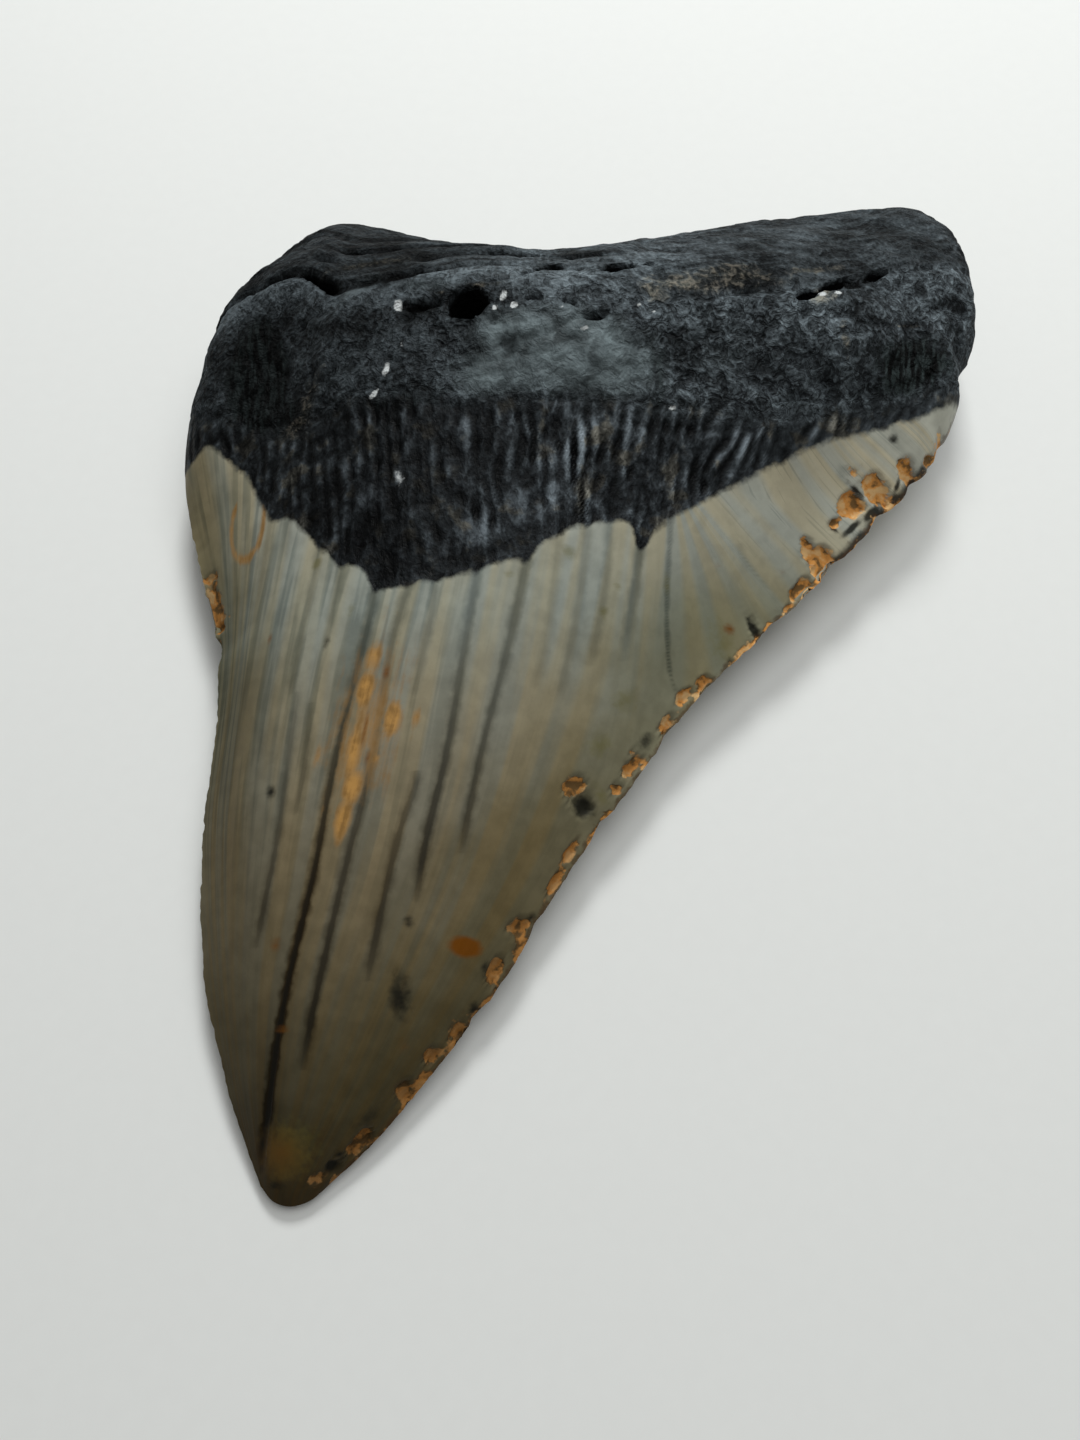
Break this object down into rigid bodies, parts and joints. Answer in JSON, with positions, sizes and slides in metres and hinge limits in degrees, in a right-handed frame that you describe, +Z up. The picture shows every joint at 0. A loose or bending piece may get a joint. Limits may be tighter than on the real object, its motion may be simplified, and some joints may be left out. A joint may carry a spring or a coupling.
{
  "type": "megalodon tooth fossil",
  "caption": "Large broad triangular fossil shark tooth lying flat: grey cracked enamel crown raked to one side, striated dark bourlette, black two-lobed root with a nutrient pit.",
  "frame": {"origin": "on the surface that the tooth lies on, under the middle of its plan", "axes": "+Y from the tip towards the root, +Z up out of the inner (convex) face, +X to the right seen from above with the root away from the viewer"},
  "size_m": [0.0868, 0.1072, 0.0238],
  "materials": {
    "tooth": "satin mineralised enamel, grey-olive on the crown and near black on the root and bourlette"
  },
  "bodies": {
    "root": {"tooth": "tooth"}
  },
  "joints": []
}
